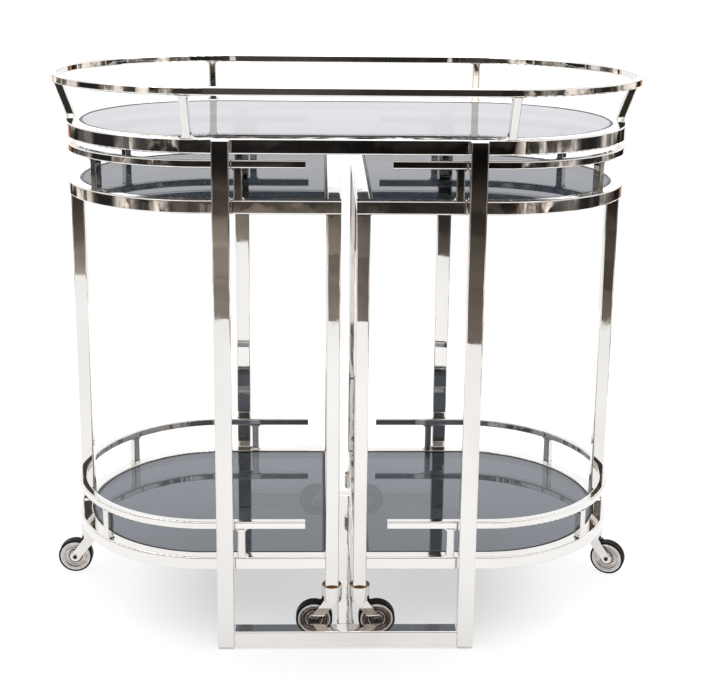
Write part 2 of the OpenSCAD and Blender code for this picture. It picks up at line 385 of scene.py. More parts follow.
@dataclass(frozen=True)
class GlassFinish(Finish):
    """Tinted float glass with faint wipe marks and a slow ripple."""

    tint: Colour = (0.15, 0.155, 0.17)
    deep: Colour = (0.12, 0.125, 0.14)
    index: float = 1.95
    cast: Colour = (0.92, 0.925, 0.97)
    wipe_spread: tuple[float, float, float] = (9.0, 30.0, 9.0)
    ripple: float = 0.00003

    def build(self) -> bpy.types.Material:
        """Builds the node graph.

        Returns:
            The material.
        """
        material, graph, shader = self.start()
        place = graph.place()
        wipes = graph.noise(graph.stretched(place, self.wipe_spread), 1.0, detail=5.0, roughness=0.6)
        body = graph.noise(place, scale=3.0, detail=2.0)
        swell = graph.noise(place, scale=11.0, detail=1.0)
        graph.feed(shader, Metallic=0.0, IOR=self.index, Transmission_Weight=1.0,
                   Specular_Tint=self.cast,
                   Base_Color=graph.blend(body, self.tint, self.deep),
                   Roughness=graph.span(wipes, 0.45, 0.8, 0.0, 0.012),
                   Normal=graph.bump(swell, self.ripple))
        return material


@dataclass(frozen=True)
class SoftFinish(Finish):
    """Rubber, silicone or moulded plastic: colour drift, mottled gloss and a fine grain."""

    tint: Colour = (0.02, 0.02, 0.02)
    shade: Colour = (0.012, 0.012, 0.012)
    low: float = 0.35
    high: float = 0.6
    grain: float = 0.00005
    grain_scale: float = 900.0
    gloss: float = 0.5

    def build(self) -> bpy.types.Material:
        """Builds the node graph.

        Returns:
            The material.
        """
        material, graph, shader = self.start()
        place = graph.place()
        mottle = graph.noise(place, scale=120.0, detail=4.0, roughness=0.6)
        grain = graph.noise(place, self.grain_scale, detail=2.0)
        graph.feed(shader, Metallic=0.0, IOR=1.5, Specular_IOR_Level=self.gloss,
                   Base_Color=graph.blend(graph.span(mottle, 0.35, 0.7), self.tint, self.shade),
                   Roughness=graph.span(mottle, 0.3, 0.75, self.low, self.high),
                   Normal=graph.bump(grain, self.grain))
        return material


@dataclass(frozen=True)
class TurnedFinish(Finish):
    """Turned metal of the wheel hub: fine lathe rings about the axle and greyish brown plate."""

    tint: Colour = (0.185, 0.145, 0.125)
    shade: Colour = (0.075, 0.055, 0.047)
    low: float = 0.14
    high: float = 0.32
    ring_depth: float = 0.00001
    ring_spread: tuple[float, float, float] = (40.0, 2500.0, 40.0)

    def build(self) -> bpy.types.Material:
        """Builds the node graph.

        Returns:
            The material.
        """
        material, graph, shader = self.start()
        place = graph.place()
        mottle = graph.noise(place, scale=160.0, detail=4.0, roughness=0.6)
        rings = graph.noise(graph.stretched(place, self.ring_spread), 1.0, detail=2.0)
        graph.feed(shader, Metallic=1.0, IOR=2.0,
                   Base_Color=graph.blend(graph.span(mottle, 0.3, 0.7), self.tint, self.shade),
                   Roughness=graph.span(mottle, 0.3, 0.7, self.low, self.high),
                   Normal=graph.bump(rings, self.ring_depth))
        return material


@dataclass(frozen=True)
class PaperFinish(Finish):
    """White studio paper with painted light: it glows a little, which lifts its shadows, and glows more over
    a darker tint away from the middle of the piece, which paints the cast shadow there fainter.
    """

    tint: Colour = (0.56, 0.56, 0.57)
    glow: float = 0.515
    painted_outer_tint: Colour = (0.21, 0.21, 0.213)
    painted_outer_glow: float = 0.86
    inner: float = 0.20
    outer: float = 0.36
    mottle: float = 0.985

    def build(self) -> bpy.types.Material:
        """Builds the node graph.

        Returns:
            The material.
        """
        material, graph, shader = self.start()
        place = graph.place()
        # painted light: away from the middle the paper gets a darker tint and more glow, so the cast shadow
        # there is painted out while bare paper keeps its brightness
        away = graph.span(graph.math("ABSOLUTE", graph.parts(place)[0]), self.inner, self.outer)
        soft = graph.noise(place, scale=1.3, detail=2.0)
        middle = graph.blend(soft, self.tint, tuple(self.mottle * part for part in self.tint))
        gain = graph.math("MULTIPLY", away, self.painted_outer_glow - self.glow)
        graph.feed(shader, Roughness=0.9, IOR=1.3, Specular_IOR_Level=0.1,
                   Base_Color=graph.blend(away, middle, self.painted_outer_tint),
                   Emission_Color=(1.0, 1.0, 1.0),
                   Emission_Strength=graph.math("ADD", gain, self.glow))
        return material


class Palette:
    """All finishes, each built once."""

    def __init__(self) -> None:
        """Builds every material."""
        self.tube = ChromeFinish("frame_chrome").build()
        self.bar = ChromeFinish("gallery_chrome", wave=0.00012, wave_scale=22.0).build()
        self.cart = ChromeFinish("cart_chrome", wave=0.00015, wave_scale=19.0).build()
        # painted light: the bent tubes are the same chrome plate as the rest, given a lighter tint as well
        # as a stronger ripple
        self.bent = ChromeFinish("bent_tube_chrome", tint=(0.84, 0.825, 0.805), shade=(0.80, 0.78, 0.755),
                                 wave=0.00034, wave_scale=24.0, smudged=0.10).build()
        self.caster = ChromeFinish("caster_chrome_plate", wave=0.00008, wave_scale=60.0, clear=0.05,
                                   smudged=0.16).build()
        self.weld = ChromeFinish("ground_weld", wave=0.0001, wave_scale=90.0, clear=0.05,
                                 smudged=0.2).build()
        # painted light and shade: the next two are one turned metal at two brightnesses, dark for the shaded
        # inner discs and the outer grooves, light for the lit outer discs
        self.hub = TurnedFinish("turned_hub").build()
        self.bright_hub = TurnedFinish("polished_hub", tint=(0.66, 0.61, 0.58),
                                       shade=(0.42, 0.38, 0.355)).build()
        self.rim = TurnedFinish("wheel_rim", tint=(0.72, 0.70, 0.68), shade=(0.55, 0.52, 0.50)).build()
        self.ring = SoftFinish("sidewall_plastic", tint=(0.93, 0.92, 0.91), shade=(0.80, 0.79, 0.78),
                               low=0.22, high=0.42, grain=0.00001).build()
        self.bronze = TurnedFinish("cup_bronze", tint=(0.62, 0.36, 0.13), shade=(0.30, 0.13, 0.05), low=0.2,
                                   high=0.45).build()
        self.cap = SoftFinish("axle_cap_steel", tint=(0.05, 0.045, 0.04), shade=(0.02, 0.018, 0.016),
                              low=0.25, high=0.45, gloss=0.06, grain=0.00002).build()
        self.tyre = SoftFinish("tyre_black", tint=(0.013, 0.013, 0.013), shade=(0.006, 0.006, 0.006),
                               low=0.45, high=0.65, gloss=0.10).build()
        self.silicone = SoftFinish("glazing_black", tint=(0.012, 0.012, 0.013), shade=(0.006, 0.006, 0.007),
                                   low=0.25, high=0.5, grain=0.00003, grain_scale=300.0).build()
        self.foot = SoftFinish("foot_white", tint=(0.78, 0.77, 0.75), shade=(0.62, 0.61, 0.59),
                               low=0.4, high=0.6).build()
        self.tray_glass = GlassFinish("tray_smoked_glass").build()
        self.upper_glass = GlassFinish("upper_shelf_glass", tint=(0.034, 0.048, 0.062),
                                       deep=(0.024, 0.036, 0.048), index=1.17,
                                       cast=(0.72, 0.80, 0.90)).build()
        self.lower_glass = GlassFinish("lower_shelf_glass", tint=(0.10, 0.115, 0.135),
                                       deep=(0.075, 0.088, 0.105), index=1.85,
                                       cast=(0.86, 0.91, 1.0)).build()
        self.paper = PaperFinish("studio_paper").build()

    def for_slot(self, slot: Slot) -> bpy.types.Material:
        """The material for a record slot.

        Args:
            slot: which slot.

        Returns:
            The material.
        """
        return {
            Slot.TUBE: self.tube,
            Slot.BAR: self.bar,
            Slot.CART: self.cart,
            Slot.CASTER: self.caster,
            Slot.WHEEL: self.rim,
            Slot.TYRE: self.tyre,
            Slot.GLAZING: self.silicone,
            Slot.FOOT: self.foot,
            Slot.TRAY_GLASS: self.tray_glass,
            Slot.UPPER_GLASS: self.upper_glass,
            Slot.LOWER_GLASS: self.lower_glass,
        }[slot]


# ---------------------------------------------------------------------------------------------
# Mesh work
# ---------------------------------------------------------------------------------------------


def put(name: str, mesh: bmesh.types.BMesh, material: bpy.types.Material,
        crease: float = 35.0) -> bpy.types.Object:
    """Turns a bmesh into a shown piece.

    Args:
        name: piece name.
        mesh: finished bmesh, freed here.
        material: its finish.
        crease: edge angle in degrees from which an edge stays sharp.

    Returns:
        The object, linked to the scene.
    """
    bmesh.ops.remove_doubles(mesh, verts=mesh.verts, dist=1e-7)
    bmesh.ops.recalc_face_normals(mesh, faces=mesh.faces)
    limit = math.radians(crease)
    for face in mesh.faces:
        face.smooth = True
    for edge in mesh.edges:
        edge.smooth = len(edge.link_faces) == 2 and edge.calc_face_angle(math.pi) < limit
    data = bpy.data.meshes.new(name)
    mesh.to_mesh(data)
    mesh.free()
    data.materials.append(material)
    thing = bpy.data.objects.new(name, data)
    bpy.context.scene.collection.objects.link(thing)
    return thing


def plan_sweep(mesh: bmesh.types.BMesh, path: Sequence[Vector], profile: Pairs) -> None:
    """Sweeps a closed section round a closed path in plan, mitred at its corners.

    Args:
        mesh: bmesh that receives the faces.
        path: points in order, counter-clockwise from above, in metres.
        profile: section points as (outward, up), in metres.
    """
    count = len(path)
    sharpest = 0.3
    rows: list[list[bmesh.types.BMVert]] = []
    for index, point in enumerate(path):
        before = (point - path[index - 1]).to_2d().normalized()
        after = (path[(index + 1) % count] - point).to_2d().normalized()
        out_a, out_b = Vector((before.y, -before.x)), Vector((after.y, -after.x))
        out = (out_a + out_b).normalized()
        out /= max(sharpest, out.dot(out_a))
        rows.append([mesh.verts.new((point.x + out.x * u, point.y + out.y * u, point.z + v))
                     for u, v in profile])
    for index in range(count):
        one, two = rows[index], rows[(index + 1) % count]
        for k in range(len(profile)):
            m = (k + 1) % len(profile)
            mesh.faces.new((one[k], two[k], two[m], one[m]))


def lathe(mesh: bmesh.types.BMesh, profile: Pairs, centre: Vector, axis: Vector,
          steps: int = 72) -> None:
    """Turns an open section about an axis.

    Args:
        mesh: bmesh that receives the faces.
        profile: section points as (radius, along the axis), in metres.
        centre: a point on the axis.
        axis: unit direction of the axis.
        steps: number of steps round.
    """
    side = axis.orthogonal().normalized()
    other = axis.cross(side)
    rows: list[list[bmesh.types.BMVert]] = []
    for radius, along in profile:
        middle = centre + axis * along
        if radius < 1e-7:
            rows.append([mesh.verts.new(middle)])
            continue
        rows.append([
            mesh.verts.new(middle + (side * math.cos(a) + other * math.sin(a)) * radius)
            for a in (2 * math.pi * k / steps for k in range(steps))
        ])
    for one, two in zip(rows, rows[1:]):
        for k in range(steps):
            m = (k + 1) % steps
            if len(one) == 1:
                mesh.faces.new((one[0], two[k], two[m]))
            elif len(two) == 1:
                mesh.faces.new((one[k], one[m], two[0]))
            else:
                mesh.faces.new((one[k], one[m], two[m], two[k]))


def fillet(mesh: bmesh.types.BMesh, corner: Vector, first: Vector, second: Vector, radius: float,
           width: Vector, steps: int = 6) -> None:
    """A ground weld in an inside corner: a hollow quarter-round strip.

    Args:
        mesh: bmesh that receives the faces.
        corner: middle of the corner line.
        first: unit direction along one face, away from the corner.
        second: unit direction along the other face.
        radius: leg length of the weld.
        width: half of the strip's width, along the corner line.
        steps: number of steps round the hollow.
    """
    sink = 0.2 * MM
    ring: list[Vector] = [corner - first * sink - second * sink]
    for k in range(steps + 1):
        angle = 0.5 * math.pi * k / steps
        u = radius * (1.0 - math.sin(angle)) - (sink if k == steps else 0.0)
        v = radius * (1.0 - math.cos(angle)) - (sink if k == 0 else 0.0)
        ring.append(corner + first * u + second * v)
    near = [mesh.verts.new(p - width) for p in ring]
    far = [mesh.verts.new(p + width) for p in ring]
    mesh.faces.new(near)
    mesh.faces.new(list(reversed(far)))
    for k in range(len(ring)):
        m = (k + 1) % len(ring)
        mesh.faces.new((near[k], far[k], far[m], near[m]))


def racetrack(half_x: float, half_y: float, z: float, steps: int = 96) -> list[Vector]:
    """Points of a racetrack outline, counter-clockwise.

    Args:
        half_x: half length.
        half_y: half width, the radius of its ends.
        z: height.
        steps: steps along each end.

    Returns:
        The points.
    """
    centre = half_x - half_y
    points = []
    for middle, start in ((centre, -90.0), (-centre, 90.0)):
        for k in range(steps + 1):
            a = math.radians(start + 180.0 * k / steps)
            points.append(Vector((middle + half_y * math.cos(a), half_y * math.sin(a), z)))
    return points


def half_oval(start_x: float, centre: float, radius: float, z: float, sign: float,
              steps: int = 96) -> list[Vector]:
    """Points of a cart shelf outline, counter-clockwise.

    Args:
        start_x: distance of the straight inner edge from the middle.
        centre: distance of the bend's centre from the middle.
        radius: radius of the bend.
        z: height.
        sign: side of the cart, -1 or 1.
        steps: steps round the bend.

    Returns:
        The points.
    """
    points = [Vector((start_x, -radius, z))]
    for k in range(steps + 1):
        a = math.radians(-90.0 + 180.0 * k / steps)
        points.append(Vector((centre + radius * math.cos(a), radius * math.sin(a), z)))
    points.append(Vector((start_x, radius, z)))
    if sign < 0:
        points = [Vector((-p.x, p.y, p.z)) for p in reversed(points)]
    return points


# ---------------------------------------------------------------------------------------------
# Sizes
# ---------------------------------------------------------------------------------------------


@dataclass(frozen=True)
class Plan:
    """Sizes of the whole piece in metres, worked out from the CAD frame's own boxes."""

    tube: float
    leg_x: float
    leg_y: float
    tray_half: float
    tray_side: float
    tray_top: float
    tray_tube: float
    bar: float
    flare: float
    gallery_top: float
    cart_tube: float
    cart_half: float
    cart_side: float
    cart_in: float
    upper_top: float
    lower_top: float
    cart_gallery: float
    strip: float
    base_bottom: float

    @staticmethod
    def read() -> Plan:
        """Reads the sizes from the CAD boxes.

        Returns:
            The sizes.
        """
        ring_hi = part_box("tray_ring")[1]
        pane_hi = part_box("tray_glass")[1]
        strip_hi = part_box("tray_glazing_strip")[1]
        rail_lo, rail_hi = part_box("tray_gallery_rail")
        leg_lo, leg_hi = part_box("front_right_frame_leg")
        upper_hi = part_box("right_upper_ring")[1]
        lower_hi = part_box("right_lower_ring")[1]
        cart_rail_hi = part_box("right_upper_gallery")[1]
        inner_lo, inner_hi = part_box("right_front_leg")
        return Plan(
            tube=leg_hi.x - leg_lo.x,
            leg_x=(leg_lo.x + leg_hi.x) / 2,
            leg_y=-(leg_lo.y + leg_hi.y) / 2,
            tray_half=ring_hi.x,
            tray_side=ring_hi.y,
            tray_top=ring_hi.z,
            tray_tube=ring_hi.x - strip_hi.x,
            bar=rail_hi.z - rail_lo.z,
            flare=rail_hi.x - ring_hi.x,
            gallery_top=rail_hi.z,
            cart_tube=inner_hi.x - inner_lo.x,
            cart_half=upper_hi.x,
            cart_side=upper_hi.y,
            cart_in=(inner_lo.x + inner_hi.x) / 2,
            upper_top=upper_hi.z,
            lower_top=lower_hi.z,
            cart_gallery=cart_rail_hi.z - upper_hi.z,
            strip=strip_hi.x - pane_hi.x,
            base_bottom=leg_lo.z,
        )

    @property
    def tray_bend(self) -> float:
        """Distance of the tray bends' centres from the middle."""
        return self.tray_half - self.tray_side

    @property
    def cart_bend(self) -> float:
        """Distance of the cart bends' centres from the middle."""
        return self.cart_half - self.cart_side


# ---------------------------------------------------------------------------------------------
# Assemblies
# ---------------------------------------------------------------------------------------------


@dataclass
class TrayFrame:
    """The fixed frame: tray ring with its pane and gallery, four legs and the H base."""

    plan: Plan
    palette: Palette
    post_turn: float = 7.0
    weld: float = 5.0 * MM
    leg_weld: float = 2.5 * MM
    post_round: float = 1.1 * MM
    tube_round: float = 1.9 * MM
    body: str = "frame"

    def dress(self) -> Iterator[bpy.types.Object]:
        """Builds the frame's fitted pieces.

        Returns:
            The pieces.
        """
        yield self.glazing_bead()
        yield self.post_welds()
        yield self.leg_welds()

    def glazing_bead(self) -> bpy.types.Object:
        """The black silicone bead round the pane, a little domed between ring and glass."""
        plan = self.plan
        inner = plan.tray_tube + plan.strip / 2
        glass_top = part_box("tray_glass")[1].z
        mesh = bmesh.new()
        plan_sweep(mesh, racetrack(plan.tray_half - inner, plan.tray_side - inner, glass_top),
                   bead_section(plan.strip / 2))
        bead = put("tray_glazing_bead", mesh, self.palette.silicone)
        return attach(bead, self.body)

    def post_welds(self) -> bpy.types.Object:
        """Small ground welds at the foot and head of the six leaning gallery posts."""
        plan = self.plan
        mesh = bmesh.new()
        foot_z = plan.tray_top
        head_z = plan.gallery_top - plan.bar
        for sign in BOTH_WAYS:
            for turn in (0.0, 90.0 - self.post_turn, self.post_turn - 90.0):
                a = math.radians(turn)
                out = Vector((sign * math.cos(a), math.sin(a), 0.0))
                along = Vector((-out.y, out.x, 0.0))
                middle = Vector((sign * plan.tray_bend, 0.0, 0.0))
                foot = middle + out * (plan.tray_side - plan.bar / 2) + Vector((0, 0, foot_z))
                head = foot + out * plan.flare + Vector((0, 0, head_z - foot_z))
                lean = (head - foot).normalized()
                width = out * (plan.bar / 2 - self.post_round)
                for way in BOTH_WAYS:
                    step = along * way * plan.bar / 2
                    fillet(mesh, foot + step, along * way, lean, self.weld, width)
                    fillet(mesh, head + step, along * way, -lean, self.weld, width)
        piece = put("tray_post_welds", mesh, self.palette.weld)
        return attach(piece, self.body)

    def leg_welds(self) -> bpy.types.Object:
        """Ground welds where the legs meet the tray ring and the base rails, and at the spine."""
        plan = self.plan
        mesh = bmesh.new()
        half = plan.tube / 2
        ring_half = plan.tray_tube / 2
        rail_top = plan.base_bottom + plan.tube
        across = Vector((0, half - self.tube_round, 0))
        for sx in BOTH_WAYS:
            outward = Vector((sx, 0, 0))
            for sy in BOTH_WAYS:
                inward = Vector((0, -sy, 0))
                for way in BOTH_WAYS:
                    corner = Vector((sx * plan.leg_x + way * half, sy * plan.tray_side,
                                     plan.tray_top - ring_half))
                    fillet(mesh, corner, Vector((way, 0, 0)), -inward, self.leg_weld,
                           UP * (ring_half - self.tube_round))
                corner = Vector((sx * (plan.leg_x - half), sy * plan.leg_y, rail_top))
                fillet(mesh, corner, -outward, UP, self.leg_weld, across)
                corner = Vector((sx * half, sy * (plan.leg_y - half), rail_top - half))
                fillet(mesh, corner, outward, inward, self.leg_weld, UP * (half - self.tube_round))
        piece = put("frame_welds", mesh, self.palette.weld)
        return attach(piece, self.body)


def bead_section(half: float) -> list[tuple[float, float]]:
    """Section of a glazing bead, flat underneath and domed on top.

    Args:
        half: half of the bead's width.

    Returns:
        The section points, (outward, up).
    """
    dome, skirt, lift = 0.7 * MM, -0.4 * MM, 0.05 * MM
    lean, narrowing, steps = -0.15 * MM, 0.96, 8
    points = [(-half - 0.3 * MM, skirt), (half - 0.05 * MM, skirt)]
    for k in range(steps + 1):
        t = math.pi * k / steps
        points.append((lean + half * math.cos(t) * narrowing, lift + dome * math.sin(t)))
    return points


@dataclass
class Cart:
    """One rolling cart: two half-oval shelves, galleries, posts and three legs."""

    plan: Plan
    palette: Palette
    side: Side
    post_turn: float = 46.0
    post_x: float = 158.0 * MM
    weld: float = 5.0 * MM
    leg_weld: float = 3.0 * MM
    post_round: float = 1.1 * MM
    leg_round: float = 2.4 * MM
    outer_round: float = 3.0 * MM

    @property
    def body(self) -> str:
        """Name of the cart's CAD body."""
        return f"{self.side.label}_cart"

    def dress(self) -> Iterator[bpy.types.Object]:
        """Builds the cart's fitted pieces.

        Returns:
            The pieces.
        """
        yield self.glazing_bead("upper")
        yield self.glazing_bead("lower")
        yield self.post_welds()
        yield self.leg_welds()
        yield self.cup_linings()

    def cup_linings(self) -> bpy.types.Object:
        """A bronze bush in the mouth of each leg cup, round the square leg."""
        label = self.side.label
        cups_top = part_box(f"{label}_leg_cups")[1].z
        bush = ((8.6, -4.6), (8.8, -3.4), (11.2, -3.0), (12.6, -3.3), (13.6, -2.7), (14.4, -2.9),
                (14.45, -4.4))
        profile = [(radius * MM, depth * MM) for radius, depth in bush]
        mesh = bmesh.new()
        for leg in ("outer_leg", "front_leg", "rear_leg"):
            leg_lo, leg_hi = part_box(f"{label}_{leg}")
            centre = Vector(((leg_lo.x + leg_hi.x) / 2, (leg_lo.y + leg_hi.y) / 2, cups_top))
            lathe(mesh, profile, centre, UP, steps=64)
        piece = put(f"{label}_cup_linings", mesh, self.palette.bronze, crease=50.0)
        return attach(piece, self.body)

    def glazing_bead(self, level: str) -> bpy.types.Object:
        """The black bead round one shelf's pane.

        Args:
            level: shelf name.

        Returns:
            The piece.
        """
        plan = self.plan
        glass_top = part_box(f"{self.side.label}_{level}_glass")[1].z
        inner = plan.cart_in + plan.cart_tube / 2 + plan.strip / 2
        radius = plan.cart_side - plan.cart_tube - plan.strip / 2
        mesh = bmesh.new()
        path = half_oval(inner, plan.cart_bend, radius, glass_top, self.side.sign)
        plan_sweep(mesh, path, bead_section(plan.strip / 2))
        piece = put(f"{self.side.label}_{level}_glazing_bead", mesh, self.palette.silicone)
        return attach(piece, self.body)

    def posts(self) -> Iterator[tuple[Vector, Vector, Vector]]:
        """Plan places of the gallery posts.

        Returns:
            Middle of each post at floor height, the direction outward and the direction along the rail.
        """
        plan, sign = self.plan, self.side.sign
        reach = plan.cart_side - plan.bar / 2
        for sy in BOTH_WAYS:
            yield (Vector((sign * self.post_x, sy * reach, 0)), Vector((0, sy, 0)), Vector((1, 0, 0)))
            a = math.radians(sy * (90.0 - self.post_turn))
            out = Vector((sign * math.cos(a), math.sin(a), 0))
            yield (Vector((sign * plan.cart_bend, 0, 0)) + out * reach, out, Vector((-out.y, out.x, 0)))

    def post_welds(self) -> bpy.types.Object:
        """Rounded welds in the inside corners of posts, rings and rails."""
        plan = self.plan
        mesh = bmesh.new()
        for place, out, along in self.posts():
            width = out * (plan.bar / 2 - self.post_round)
            for base in (plan.upper_top, plan.lower_top):
                foot = place + UP * base
                head = place + UP * (base + plan.cart_gallery - plan.bar)
                for way in BOTH_WAYS:
                    step = along * way * plan.bar / 2
                    fillet(mesh, foot + step, along * way, UP, self.weld, width)
                    fillet(mesh, head + step, along * way, -UP, self.weld, width)
        piece = put(f"{self.side.label}_post_welds", mesh, self.palette.weld)
        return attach(piece, self.body)

    def leg_welds(self) -> bpy.types.Object:
        """Ground welds where the three legs meet the two shelf rings."""
        plan, sign = self.plan, self.side.sign
        mesh = bmesh.new()
        half = plan.cart_tube / 2
        levels = (
            (plan.upper_top - plan.cart_tube, -UP),
            (plan.lower_top - plan.cart_tube, -UP),
            (plan.lower_top, UP),
        )
        outward = Vector((sign, 0, 0))
        leg_lo, leg_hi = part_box(f"{self.side.label}_outer_leg")
        outer_x = (leg_lo.x + leg_hi.x) / 2
        for z, away in levels:
            for sy in BOTH_WAYS:
                sideways = Vector((0, sy, 0))
                leg = Vector((sign * plan.cart_in, sy * (plan.cart_side - half), z))
                fillet(mesh, leg + outward * half, outward, away, self.leg_weld,
                       Vector((0, half - self.leg_round, 0)))
                fillet(mesh, leg - sideways * half, -sideways, away, self.leg_weld,
                       Vector((half - self.leg_round, 0, 0)))
                fillet(mesh, Vector((outer_x, sy * half, z)), sideways, away, self.leg_weld,
                       Vector((half - self.outer_round, 0, 0)))
        piece = put(f"{self.side.label}_cart_welds", mesh, self.palette.weld)
        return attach(piece, self.body)


@dataclass
class Caster:
    """One swivel caster: turned hub discs, light sidewall rings and dark axle caps."""

    palette: Palette
    nodes: dict[str, bpy.types.Object]
    side: Side
    corner: Corner
    # radii in mm of painted highlight rings (inner discs) and of painted shade in the grooves (outer discs)
    painted_highlight_bands: Pairs = ((8.0, 9.3), (12.3, 13.3), (17.7, 18.5), (20.9, 21.6))
    painted_groove_shade_bands: Pairs = ((10.1, 11.5), (17.7, 18.5))
    disc_steps: Pairs = (
        (7.6, 3.2), (7.9, 0.6), (9.2, 0.35), (10.0, 1.5), (11.6, 2.1), (12.3, 1.7), (13.2, 2.1), (14.9, 2.0),
        (15.7, 1.35), (16.6, 1.75), (17.7, 1.6), (18.4, 1.5), (19.2, 0.8), (20.2, 0.66), (20.9, 0.6),
        (21.5, 0.66), (22.4, 0.78), (22.7, 1.6))
    cap_steps: Pairs = (
        (0.0, 0.55), (1.4, 0.5), (1.9, 0.25), (2.6, 0.35), (3.4, 0.2), (3.9, -0.3), (4.0, -1.2))
    ring_start: Pairs = ((22.5, -1.6), (22.55, -0.5), (22.9, -0.1), (23.6, 0.05))
    ring_end: Pairs = ((-0.5, -0.1), (-0.05, -0.5), (-0.02, -1.6))
    tyre_lap: float = 3.0 * MM
    fork_face: float = 4.0 * MM

    @property
    def name(self) -> str:
        """Common start of the caster's CAD names."""
        return f"{self.side.label}_{self.corner.value}"

    @property
    def disc_light_and_shade_copy(self) -> bpy.types.Material:
        """The same turned metal painted at two brightnesses: a lit copy on the outer casters, painted light,
        and a shaded copy on the inner pairs, painted shade.
        """
        return self.palette.bright_hub if self.corner is Corner.OUTER else self.palette.hub

    def axis(self) -> tuple[Vector, Vector, float, float]:
        """Centre and direction of the axle from the tyre's own vertices.

        Returns:
            The centre, the unit axis, the tyre's outer radius and half of its width.
        """
        points = [v.co.copy() for v in self.nodes[f"{self.name}_tyre"].data.vertices]
        low = Vector([min(p[k] for p in points) for k in range(3)])
        high = Vector([max(p[k] for p in points) for k in range(3)])
        centre = (low + high) / 2
        radius = (high.z - low.z) / 2
        belt = 0.35 * radius
        flat = [(p - centre).to_2d() for p in points if abs(p.z - centre.z) < belt]
        half, axis = math.inf, UP
        for step in range(-90, 90):
            a = math.radians(step)
            across = Vector((math.sin(a), math.cos(a)))
            reach = max(abs(q.dot(across)) for q in flat)
            if reach < half:
                half, axis = reach, Vector((across.x, across.y, 0.0))
        return centre, axis, radius, half

    def dress(self) -> Iterator[bpy.types.Object]:
        """Builds the caster's fitted pieces.

        Returns:
            The pieces.
        """
        centre, axis, radius, half = self.axis()
        yield self.hub_discs(centre, axis, half)
        yield self.sidewalls(centre, axis, radius, half)
        yield self.axle_caps(centre, axis, half)

    def hub_discs(self, centre: Vector, axis: Vector, half: float) -> bpy.types.Object:
        """The ringed disc set into each side of the wheel, with painted rings: painted highlight rings on
        the inner casters and painted shade in the grooves of the outer ones.

        Args:
            centre: middle of the axle.
            axis: axle direction.
            half: half width of the tyre.

        Returns:
            The piece.
        """
        mesh = bmesh.new()
        profile = [(radius * MM, half - depth * MM) for radius, depth in self.disc_steps]
        for way in BOTH_WAYS:
            lathe(mesh, profile, centre, axis * way)
        piece = put(f"{self.name}_hub_discs", mesh, self.disc_light_and_shade_copy, crease=50.0)
        # painted light and shade: inner discs get bright rings of the rim metal as painted highlights, outer
        # discs get the dark hub copy in their grooves as painted shade
        outer = self.corner is Corner.OUTER
        piece.data.materials.append(self.palette.hub if outer else self.palette.rim)
        bands = self.painted_groove_shade_bands if outer else self.painted_highlight_bands
        for face in piece.data.polygons:
            away = face.center - centre
            reach = (away - axis * away.dot(axis)).length / MM
            if any(low < reach < high for low, high in bands):
                face.material_index = 1
        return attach(piece, f"{self.name}_wheel_body")

    def sidewalls(self, centre: Vector, axis: Vector, radius: float, half: float) -> bpy.types.Object:
        """The pale ring between hub and tyre on each side.

        Args:
            centre: middle of the axle.
            axis: axle direction.
            radius: outer radius of the tyre.
            half: half width of the tyre.

        Returns:
            The piece.
        """
        mesh = bmesh.new()
        outer = radius - self.tyre_lap
        profile = [(reach * MM, half + rise * MM) for reach, rise in self.ring_start]
        profile += [(outer + reach * MM, half + rise * MM) for reach, rise in self.ring_end]
        for way in BOTH_WAYS:
            lathe(mesh, profile, centre, axis * way)
        piece = put(f"{self.name}_sidewalls", mesh, self.palette.ring, crease=60.0)
        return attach(piece, f"{self.name}_wheel_body")

    def axle_caps(self, centre: Vector, axis: Vector, half: float) -> bpy.types.Object:
        """A dark domed cap over each end of the axle.

        Args:
            centre: middle of the axle.
            axis: axle direction.
            half: half width of the tyre.

        Returns:
            The piece.
        """
        mesh = bmesh.new()
        face = half + self.fork_face
        profile = [(radius * MM, face + rise * MM) for radius, rise in self.cap_steps]
        for way in BOTH_WAYS:
            lathe(mesh, profile, centre, axis * way, steps=48)
        piece = put(f"{self.name}_axle_caps", mesh, self.palette.cap, crease=50.0)
        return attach(piece, f"{self.name}_swivel")


# ---------------------------------------------------------------------------------------------
# Studio
# ---------------------------------------------------------------------------------------------


